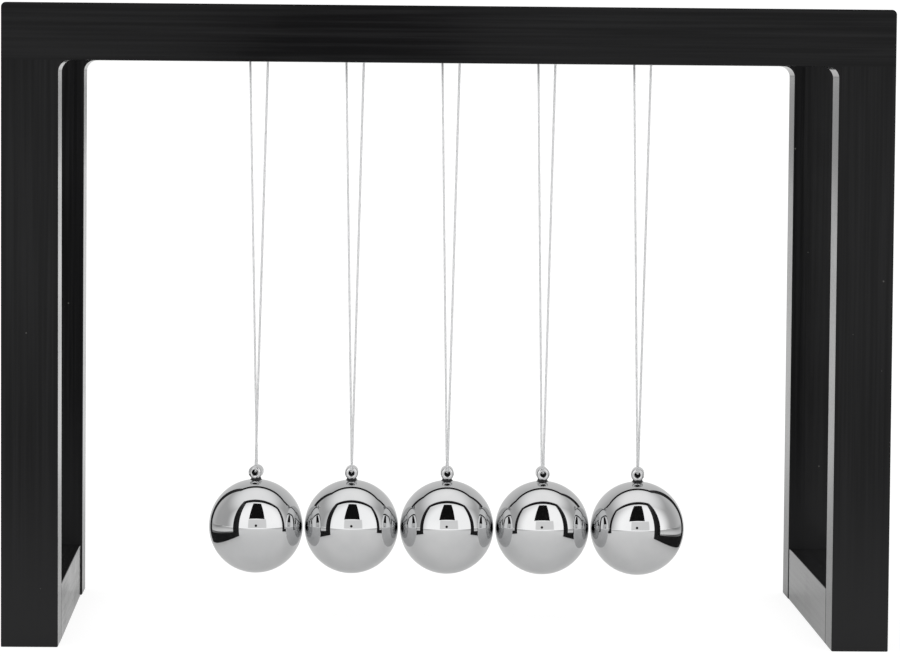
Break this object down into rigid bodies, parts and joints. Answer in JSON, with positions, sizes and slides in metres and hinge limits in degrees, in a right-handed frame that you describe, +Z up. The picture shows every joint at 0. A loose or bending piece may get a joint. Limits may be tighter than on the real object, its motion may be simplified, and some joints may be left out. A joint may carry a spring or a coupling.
{
  "type": "newtons cradle",
  "caption": "Desk pendulum toy: a row of steel balls, each hung in a V of thin line between the beams of two black arches joined by side rails.",
  "frame": {"origin": "middle of the base, on the surface that the frame stands on", "axes": "+X along the row of balls to the right, +Y from the front arch to the rear arch, +Z up"},
  "size_m": [0.18, 0.1, 0.13],
  "materials": {
    "frame_black": "piano black, polished, with faint lengthwise polishing streaks",
    "ball_steel": "mirror polished",
    "eyelet_steel": "polished, slightly duller than the ball",
    "line_nylon": "clear monofilament, light grey",
    "dowel_steel": "plain ground steel, hidden",
    "plug_black": "black, satin"
  },
  "bodies": {
    "frame": {"front_arch": "frame_black", "rear_arch": "frame_black", "left_side_rail": "frame_black", "right_side_rail": "frame_black", "front_left_dowel_lower": "dowel_steel", "front_left_dowel_upper": "dowel_steel", "front_right_dowel_lower": "dowel_steel", "front_right_dowel_upper": "dowel_steel", "rear_left_dowel_lower": "dowel_steel", "rear_left_dowel_upper": "dowel_steel", "rear_right_dowel_lower": "dowel_steel", "rear_right_dowel_upper": "dowel_steel", "front_knot_1": "line_nylon", "front_plug_1": "plug_black", "rear_knot_1": "line_nylon", "rear_plug_1": "plug_black", "front_knot_2": "line_nylon", "front_plug_2": "plug_black", "rear_knot_2": "line_nylon", "rear_plug_2": "plug_black", "front_knot_3": "line_nylon", "front_plug_3": "plug_black", "rear_knot_3": "line_nylon", "rear_plug_3": "plug_black", "front_knot_4": "line_nylon", "front_plug_4": "plug_black", "rear_knot_4": "line_nylon", "rear_plug_4": "plug_black", "front_knot_5": "line_nylon", "front_plug_5": "plug_black", "rear_knot_5": "line_nylon", "rear_plug_5": "plug_black"},
    "ball_1": {"ball_1": "ball_steel", "eyelet_1": "eyelet_steel", "line_1": "line_nylon"},
    "ball_2": {"ball_2": "ball_steel", "eyelet_2": "eyelet_steel", "line_2": "line_nylon"},
    "ball_3": {"ball_3": "ball_steel", "eyelet_3": "eyelet_steel", "line_3": "line_nylon"},
    "ball_4": {"ball_4": "ball_steel", "eyelet_4": "eyelet_steel", "line_4": "line_nylon"},
    "ball_5": {"ball_5": "ball_steel", "eyelet_5": "eyelet_steel", "line_5": "line_nylon"}
  },
  "joints": [
    {"name": "ball_1_swing", "type": "hinge", "parent": "frame", "child": "ball_1", "pos_m": [-0.0393, 0, 0.1185], "axis": [-0.0616, 0.9981, 0], "range_deg": [-0.2, 60]},
    {"name": "ball_2_swing", "type": "hinge", "parent": "frame", "child": "ball_2", "pos_m": [-0.01895, 0, 0.1185], "axis": [-0.0395, 0.9992, 0], "range_deg": [-0.2, 0.2]},
    {"name": "ball_3_swing", "type": "hinge", "parent": "frame", "child": "ball_3", "pos_m": [0.0014, 0, 0.1185], "axis": [-0.0174, 0.9998, 0], "range_deg": [-0.2, 0.2]},
    {"name": "ball_4_swing", "type": "hinge", "parent": "frame", "child": "ball_4", "pos_m": [0.02175, 0, 0.1185], "axis": [0.0047, 1, 0], "range_deg": [-0.2, 0.2]},
    {"name": "ball_5_swing", "type": "hinge", "parent": "frame", "child": "ball_5", "pos_m": [0.0421, 0, 0.1185], "axis": [0.0269, 0.9996, 0], "range_deg": [-60, 0.2]}
  ]
}
